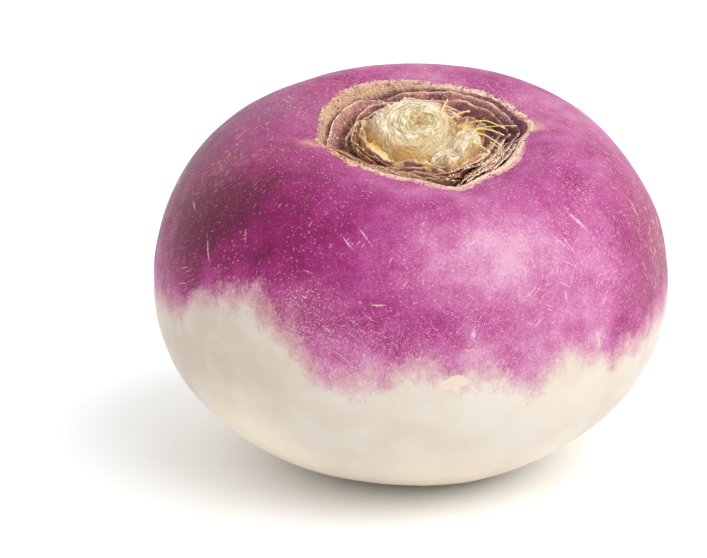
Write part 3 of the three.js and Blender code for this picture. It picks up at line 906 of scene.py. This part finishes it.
def skin_finish():
    f = Finish("turnip skin")
    reach, from_lip = f.mark("purple_reach"), f.mark("from_lip")
    place = wandering(f)

    broad = f.noise(22, 2)
    patchy = f.noise(6, 3, 0.55)
    mottle = f.noise(1.5, 3, 0.6)
    felt = f.noise(0.42, 2, 0.7)
    grain = f.noise(0.22, 2, 0.65)
    patches = lambda low, high: f.span(mottle, 0.3, 0.6, low, high)
    short = short_stroke_mask(f, place)
    scuffed = f.times(short, f.span(f.total("scuffed", f.span(patchy, 0.3, 0.7, -0.35, 0.4)), 0, 1))

    # Magenta: plum where the colour is thick, pink where it is thin and towards the cream, and paler under a
    # painted highlight at the front right.
    fade = f.span(f.total(reach, f.span(patchy, 0.25, 0.75, -3, 3)), 8, 0)
    thickness = f.total(
        0.5,
        "plum",
        # Paler where the magenta is thin, and where the painted highlight lies.
        f.times("pale", -1),
        f.times(fade, -0.2),
        f.span(broad, 0.3, 0.7, -0.1, 0.1),
        f.span(patchy, 0.3, 0.7, -0.09, 0.09),
        f.span(mottle, 0.25, 0.75, 0.07, -0.07),
        f.span(f.noise(2.8, 3, 0.6), 0.3, 0.7, 0.05, -0.06),
        f.span(felt, 0.3, 0.75, 0.06, -0.08),
        f.span(grain, 0.3, 0.75, 0.06, -0.09),
    )
    pinks = (0, (194, 144, 170)), (0.2, (178, 104, 147)), (0.4, (162, 71, 128))
    plums = (0.6, (141, 35, 102)), (0.8, (120, 13, 78)), (1, (92, 6, 52))
    browned = f.times("browned", f.span(f.noise(2.4, 4, 0.65), 0.25, 0.6, 0.4, 1))
    magenta = f.layers(
        f.ramp(thickness, *pinks, *plums),
        (browned, 0.55, (140, 72, 94)),
        ("browned", f.span(f.noise(1, 4, 0.7), 0.5, 0.66, 0, 0.7), (190, 132, 124)),
        # A painted grey sheen on the magenta along the left rim.
        ("greyed", f.span(mottle, 0.25, 0.6, 0.5, 1), (120, 92, 102)),
    )

    # Cream: nearly plain, with faint tan clouds and flecks, duller in places with painted shade on its left
    # side, and lighter towards the root end with painted light from below.
    cream = f.layers(
        (208, 200, 189),
        (f.span(f.noise(12, 3), 0.35, 0.7), (202, 190, 175)),
        (f.span(f.noise(1.9, 3, 0.6), 0.62, 0.8, 0, 0.4), (196, 172, 148)),
        # Duller cream, with painted shade on its left side.
        ("dull", f.span(patchy, 0.3, 0.7, 0.5, 1), (190, 178, 164)),
        # Painted light: lighter towards the root end, as if lit from below.
        (f.span(reach, -12, -30), (232, 221, 202)),
    )

    # The magenta fades out over a few millimetres through a felt of fine strokes.
    ragged = f.total(
        reach,
        f.span(f.noise(4.5, 3, 0.55), 0.25, 0.75, -1.2, 1.2),
        f.span(mottle, 0.25, 0.75, 0.8, -0.8),
        f.span(felt, 0.2, 0.8, 0.7, -0.7),
        f.times(short, -1),
    )
    dusty = f.times(f.span(ragged, -3, -0.6), f.span(ragged, 3.8, 0.6))
    peachy = f.times(dusty, "scuffed", f.span(f.noise(1.1, 4, 0.7), 0.44, 0.6))

    # Dots, strokes and scuffs show on the magenta.
    dots = f.cells(1.2)
    dot = f.times(f.span(dots["Distance"], 0.13, 0.06), f.span(f.luck(dots), 0.62, 1))
    marks = f.most(f.times(scuffed, 0.66), f.times(dot, 0.34), f.times(stroke_mask(f, place), 0.8))
    marks = f.times(marks, f.span("plum", 0.1, 0.45, 1, 0.6))
    marks = f.times(marks, f.span(ragged, -2.5, 1, 0.15, 0.85), f.span(grain, 0.25, 0.5, 0.5, 1))
    broken = f.span(f.noise(0.5, 3, 0.7), 0.38, 0.54, 0.2, 1)
    chip = f.total(scuff_mask(f, place, BARE_CHIPS), f.span(mottle, 0.3, 0.7, -0.12, 0.12))

    # Faint rings lie round the crown.
    uneven = f.total(from_lip, f.span(f.noise(3, 3), 0.2, 0.8, -0.7, 0.7))
    rings = f.streaks(2.2, 3, 0.6, X=uneven)
    near_lip = f.times(f.span(from_lip, 8, 0.3), f.span(rings, 0.5, 0.66), patches(0.3, 1), "ringed")
    colour = f.layers(
        cream,
        (f.span(ragged, -3.2, 3), magenta),
        (dusty, 0.25, (196, 150, 158)),
        (peachy, 0.55, (198, 154, 142)),
        (marks, (226, 190, 190)),
        (dot, f.span(ragged, -2, -5), 0.3, (184, 150, 120)),
        (scuff_mask(f, place, PALE_SCUFFS), broken, 0.8, (224, 188, 194)),
        (scuff_mask(f, place, TAN_SCUFFS), broken, 0.95, (212, 184, 144)),
        (f.span(chip, 0.16, 0.36), 0.85, (214, 200, 182)),
        (near_lip, 0.6, (206, 158, 168)),
        ("tail", patches(0.25, 0.9), (214, 166, 142)),
    )

    # The collar itself is tan cork, pale and rosy by turns, and its inner wall is dark.
    crumbs = f.cells(0.5)
    pale_lip = f.times("ringed", f.span(from_lip, -0.7, -0.2), f.span(from_lip, 0.9, 0.3))
    corky = f.layers(
        (226, 198, 164),
        (f.span(crumbs["Distance"], 0.15, 0.65), (194, 152, 120)),
        (f.span(f.noise(1.6, 3, 0.6), 0.42, 0.6, 0, 0.7), (190, 136, 116)),
        (f.span(from_lip, -0.2, 0.6, 0, 0.7), (236, 198, 180)),
        (f.span(from_lip, 0.6, 1.8, 0, 0.5), (214, 160, 162)),
        (pale_lip, patches(0.4, 0.85), (250, 222, 212)),
        ("ringed", f.span(from_lip, 0.3, 1.5), f.span(rings, 0.35, 0.6, 1, 0.45), (198, 128, 150)),
        (f.span(from_lip, -0.5, -1.7, 0, 0.5), (186, 146, 116)),
        (f.span(rings, 0.5, 0.38), f.span(from_lip, -1, 0), 0.5, (164, 110, 92)),
        (f.span(f.noise(0.35, 3, 0.6), 0.52, 0.66, 0, 0.8), (240, 222, 194)),
        (f.span(f.noise(0.4, 3, 0.7), 0.42, 0.33, 0, 0.7), (140, 92, 66)),
        ("crumb", f.span(mottle, 0.35, 0.6, 0.2, 0.8), (238, 218, 188)),
        ("browned", 0.8, (168, 124, 98)),
        ("golden", patches(0.3, 0.9), (214, 166, 110)),
    )
    broken_edge = f.times(f.span(felt, 0.25, 0.75, 0.2, 1.8), f.span(mottle, 0.3, 0.7, 0.5, 1.5))
    cork_edge = f.span(f.times("cork", broken_edge), 0.25, 0.6)
    crevice = f.blend(f.span(f.noise(0.7, 3, 0.65), 0.4, 0.66), (84, 38, 30), (150, 104, 72))
    inner_wall = f.layers(
        (156, 104, 100),
        (f.span(f.noise(0.9, 3), 0.35, 0.65), (96, 54, 56)),
        (f.span(from_lip, -2.4, -3.2), crevice),
        # Painted shade of the dark hole at the right.
        ("maroon", 0.8, (104, 44, 74)),
    )

    # A hint of bare flesh shows on the trimmed root end.
    flesh = f.layers(
        (230, 222, 204),
        (f.span(f.noise(3, 3), 0.3, 0.7), (212, 198, 172)),
        (f.span(f.noise(0.5, 3), 0.5, 0.75, 0, 0.4), (190, 168, 134)),
    )
    colour = f.layers(colour, (cork_edge, corky), ("inside", inner_wall), ("cut", flesh))

    shine = f.span(f.noise(3, 3), 0.3, 0.7, 0.4, 0.5)
    roughness = f.span(f.most(marks, cork_edge, "cut"), 0, 1, shine, 0.8)
    bumps = f.bumps(
        (f.noise(0.5, 3, 0.6), 0.03),
        (f.noise(1.3, 2, 0.6, 0.8), 0.07),
        (f.noise(4.5, 2), 0.18),
        (marks, 0.03),
        (f.times(crumbs["Distance"], cork_edge), 0.2),
    )
    return f.surface(colour, roughness, bumps, Specular_IOR_Level=0.2)


def stem_finish():
    f = Finish("cut stem flesh")
    on_top, apart = f.mark("on_top"), f.mark("from_pith")
    mottle = f.noise(0.8, 3, 0.6)
    grain = f.noise(0.22, 2, 0.6)

    # Pale fibrous rings round a tan pith with an olive ring about it.
    lines = f.streaks(3.4, 3, 0.6, X=apart, Y=f.times("around", 0.06))
    olive = f.times(f.span(apart, 1, 1.5), f.span(apart, 2.9, 1.9), f.span(mottle, 0.35, 0.6, 0.2, 0.85))
    pith = f.span(f.total(apart, f.span(grain, 0.2, 0.8, -0.4, 0.4)), 1.5, 0.9)
    top = f.layers(
        (178, 148, 98),
        (f.span(lines, 0.38, 0.58), (228, 217, 194)),
        (f.span(mottle, 0.54, 0.7, 0, 0.5), (196, 170, 118)),
        (f.span(grain, 0.58, 0.72, 0, 0.8), (160, 128, 70)),
        (olive, (172, 148, 78)),
        (pith, f.blend(f.span(grain, 0.4, 0.6), (164, 122, 68), (198, 164, 112))),
    )

    # The wall is pale in front, golden at the left, with brown bundle scars near its foot.
    streaks = f.streaks(1.6, 3, 0.5, X="around", Y=f.times("up", 0.25))
    scar = f.times(f.span(f.cells(0.9)["Distance"], 0.36, 0.22), f.span("low", 0.05, 0.4))
    scrap = f.times("withered", f.span(f.noise(1.1, 3, 0.6), 0.4, 0.55))
    colour = f.layers(
        (198, 172, 124),
        (f.span(streaks, 0.35, 0.65), (178, 146, 90)),
        ("golden", f.span(streaks, 0.3, 0.6, 0.6, 1), (196, 150, 76)),
        (scar, 0.9, (104, 58, 26)),
        ("low", f.span(mottle, 0.35, 0.65, 0.35, 0.8), (164, 118, 56)),
        ("flush", 0.75, (196, 128, 124)),
        (on_top, top),
        ("ledge", on_top, 0.55, (196, 170, 118)),
        ("foot", f.span(mottle, 0.3, 0.6, 0.6, 1), (182, 138, 70)),
        (scrap, 0.8, (160, 144, 146)),
    )
    on_wall = f.maths("SUBTRACT", 1, on_top)
    return f.surface(
        colour,
        f.span(mottle, 0.3, 0.7, 0.55, 0.75),
        f.bumps((grain, 0.06), (f.times(lines, on_top), 0.35), (f.times(streaks, on_wall), 0.2)),
        Subsurface_Weight=0.12,
        Subsurface_Radius=(1, 0.7, 0.4),
        Subsurface_Scale=0.0012,
    )


def papery_colours(f):
    """What both kinds of scale share: lengthwise streaks, a fine grain and a frayed lip."""
    through = f.times("through", 0.8)
    streaks = f.streaks(2.6, 4, 0.65, X="around", Y=f.times("up", 0.22), Z=through)
    fine = f.noise(0.3, 3, 0.6)
    lip = f.span(f.total("to_lip", f.span(fine, 0.2, 0.8, -0.25, 0.25)), 0.42, 0.08)
    return streaks, fine, f.times(lip, f.span(f.noise(1.6, 3, 0.6), 0.36, 0.56, 0.35, 1))


def scale_finish():
    f = Finish("dry papery scale")
    streaks, fine, lip = papery_colours(f)
    speckled = f.noise(1.7, 3, place=f.turned((0, 0, 40)))
    tanned = f.times("tanned", f.span("to_lip", 2.6, 1), f.span(fine, 0.3, 0.6, 0.5, 1))
    golden = f.times("golden", f.span(f.noise(1.3, 3, 0.6), 0.36, 0.52))
    shade = f.blend(f.span(fine, 0.4, 0.64), (72, 32, 28), (138, 92, 70))
    # The lips are dimmed in the painted shade of the dark hole.
    frayed = f.times(lip, f.span(fine, 0.3, 0.55, 0.6, 1), f.span("maroon", 0, 0.8, 1, 0.3))
    browns = (0.28, (98, 42, 46)), (0.42, (154, 84, 84)), (0.56, (194, 126, 118)), (0.75, (224, 180, 152))
    colour = f.layers(
        f.ramp(streaks, *browns),
        (f.span(f.noise(2.4, 3), 0.44, 0.6, 0, 0.8), (130, 60, 82)),
        (tanned, 0.85, (236, 188, 146)),
        (golden, 0.85, (232, 168, 110)),
        (f.span(speckled, 0.55, 0.68, 0, 0.7), (190, 150, 92)),
        ("rosy", f.span(fine, 0.3, 0.6, 0.9, 0.5), (128, 66, 84)),
        (f.span(fine, 0.54, 0.66, 0, 0.6), (224, 194, 166)),
        (f.span(fine, 0.42, 0.34, 0, 0.6), (96, 48, 46)),
        # Painted shade, low down between the sheets.
        (f.times("deep", 0.85), shade),
        # Painted shade of the dark hole at the right.
        ("maroon", 0.8, (84, 34, 42)),
        (frayed, (248, 226, 200)),
        ("crumb", f.span(fine, 0.35, 0.55, 0.4, 1), (240, 214, 182)),
    )
    return f.surface(colour, f.span(streaks, 0.3, 0.7, 0.6, 0.8), f.bumps((fine, 0.06), (streaks, 0.25)))


def leaf_base_finish():
    f = Finish("golden leaf base")
    streaks, fine, lip = papery_colours(f)
    flushes = f.span(f.noise(1.5, 3, place=f.turned((0, 30, 0))), 0.36, 0.52)
    flush = f.times("flushed", f.span("to_lip", 2.4, 0.7), flushes)
    scar = f.times(f.span(f.cells(0.8)["Distance"], 0.3, 0.18), f.span(f.noise(2.5, 2), 0.48, 0.62))
    colour = f.layers(
        (252, 226, 156),
        (f.span(streaks, 0.35, 0.65), (226, 182, 112)),
        (f.span(f.noise(1.6, 3), 0.46, 0.6, 0, 0.85), (246, 226, 172)),
        (flush, 0.92, (150, 84, 92)),
        (scar, 0.8, (112, 64, 26)),
        (f.span(fine, 0.62, 0.75, 0, 0.5), (132, 84, 40)),
        # Painted shade, low down where the bases sit in the crown.
        ("deep", 0.18, (96, 56, 24)),
        (lip, 0.8, (232, 214, 182)),
    )
    return f.surface(colour, f.span(streaks, 0.3, 0.7, 0.5, 0.7), f.bumps((fine, 0.05), (streaks, 0.22)))


def fibre_finish():
    f = Finish("pale vein fibre")
    colour = f.layers(
        (232, 208, 132),
        (f.span(f.noise(0.5, 2), 0.35, 0.65), (214, 182, 98)),
        (f.span("along", 0.86, 0.98), (246, 240, 224)),
    )
    roughness = f.span(f.noise(0.4, 2), 0.3, 0.7, 0.4, 0.6)
    return f.surface(colour, roughness, f.bumps((f.noise(0.25, 2), 0.04)))


# ---- Stage, light and camera ----

CAMERA_AZIMUTH, CAMERA_ELEVATION = 270, 18
CAMERA_DISTANCE = 0.65
FRAME_WIDE = 707
ACROSS = 0.1238  # how much the frame shows from side to side at the turnip, in metres
ASIDE, LOWER = 57.85, -5  # the turnip's middle is right of and above the frame's, in frame units
FLOOR_HALF = 2

# Each lamp: azimuth and elevation in degrees, width and height in metres, and watts.
LAMPS = [
    ("key lamp", 328, 52, 1, 0.9, 6.8),
    ("side lamp", 2, 22, 0.7, 0.7, 1.8),
]
LAMP_DISTANCE = 1


def aim(thing, azimuth, elevation, distance):
    """Puts a camera or lamp that far from the turnip's middle and turns it to face it."""
    towards = Vector(direction(azimuth, elevation))
    thing.location = MIDDLE + towards * distance
    thing.rotation_euler = towards.to_track_quat("Z", "Y").to_euler()


def make_stage():
    corners = [(x * FLOOR_HALF, y * FLOOR_HALF, 0) for x, y in [(-1, -1), (1, -1), (1, 1), (-1, 1)]]
    floor = build_mesh("floor", corners, [(0, 1, 2, 3)], closed=False)
    f = Finish("white table")
    white = f.blend(f.noise(40, 2), (0.92, 0.92, 0.92, 1), (0.95, 0.95, 0.95, 1))
    floor.data.materials.append(f.surface(white, 0.9, Specular_IOR_Level=0.1))

    world = bpy.data.worlds.new("soft white room")
    bpy.context.scene.world = world
    world.use_nodes = True
    world.node_tree.nodes["Background"].inputs["Color"].default_value = (1, 1, 1, 1)
    world.node_tree.nodes["Background"].inputs["Strength"].default_value = 1


def make_camera():
    data = bpy.data.cameras.new("camera")
    camera = add_object("camera", data)
    aim(camera, CAMERA_AZIMUTH, CAMERA_ELEVATION, CAMERA_DISTANCE)
    data.sensor_width = 36
    data.lens = data.sensor_width / ACROSS * CAMERA_DISTANCE
    data.shift_x = -ASIDE / FRAME_WIDE
    data.shift_y = LOWER / FRAME_WIDE
    data.clip_start = 0.01
    bpy.context.scene.camera = camera


def make_lamps():
    """A large soft key lamp at the right front and a weak one at the side."""
    for name, azimuth, elevation, width, height, watts in LAMPS:
        data = bpy.data.lights.new(name, "AREA")
        data.shape = "RECTANGLE"
        data.size = width
        data.size_y = height
        data.energy = watts
        aim(add_object(name, data), azimuth, elevation, LAMP_DISTANCE)


# ---- The whole turnip ----

make_stage()
make_camera()
make_lamps()
make_root(skin_finish())
stem_material = stem_finish()
make_stem(stem_material)
for seed, stub in enumerate(STUBS):
    make_stub(*stub, stem_material, 31 + seed)
finishes = {"dry_scale": scale_finish(), "leaf_base": leaf_base_finish()}
finishes = {slot: (material, crumb_tree(material)) for slot, material in finishes.items()}
for seed, scale in enumerate(SCALES):
    make_scale(*scale, finishes, 50 + 7 * seed)
make_fibres(fibre_finish())

bpy.context.scene.view_settings.view_transform = "Standard"
